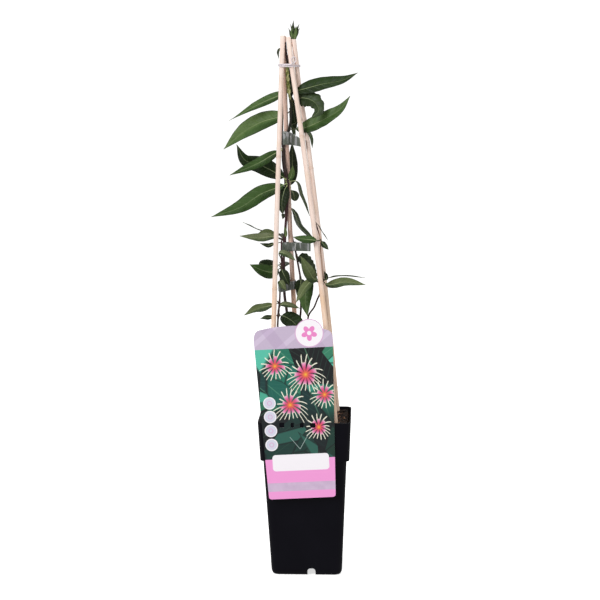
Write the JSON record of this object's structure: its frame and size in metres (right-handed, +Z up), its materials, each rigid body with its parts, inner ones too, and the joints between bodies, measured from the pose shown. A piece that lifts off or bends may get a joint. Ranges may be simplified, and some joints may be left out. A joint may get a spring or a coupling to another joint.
{
  "type": "potted honeysuckle vine",
  "caption": "Young honeysuckle climber with slim pointed leaves, twining up bamboo canes tied together at the top, in a tall square nursery pot with a hang-on label.",
  "frame": {"origin": "below the middle of the pot's rim, on the surface that the pot stands on", "axes": "+Z up the canes, -Y towards the label's side, +X to the right seen from the label's side"},
  "size_m": [0.1912, 0.137, 0.6865],
  "materials": {
    "pot": "black moulded plastic, satin",
    "peat": "dark brown peat with bark crumbs, matte",
    "bamboo": "pale bleached bamboo, smooth, low sheen",
    "foliage": "living leaf, dark green and satin above, paler olive below",
    "coated_wire": "off-white plastic coating over wire",
    "tape": "grey-green plastic tape, glossy",
    "staple": "bright galvanised wire",
    "label": "printed laminated plastic card: lilac head, dark green picture, pink foot"
  },
  "bodies": {
    "root": {"pot": "pot", "soil": "peat", "cane_front_left": "bamboo", "cane_front_right": "bamboo", "cane_back_right": "bamboo", "cane_back_left": "bamboo", "vine_main": "foliage", "vine_left": "foliage", "vine_back": "foliage", "vine_right": "foliage", "wire_tie": "coated_wire", "tape_tie_upper": "tape", "staple_upper": "staple", "tape_tie_middle": "tape", "staple_middle": "staple", "tape_tie_lower": "tape", "staple_lower": "staple", "label_card": "label"}
  },
  "joints": []
}
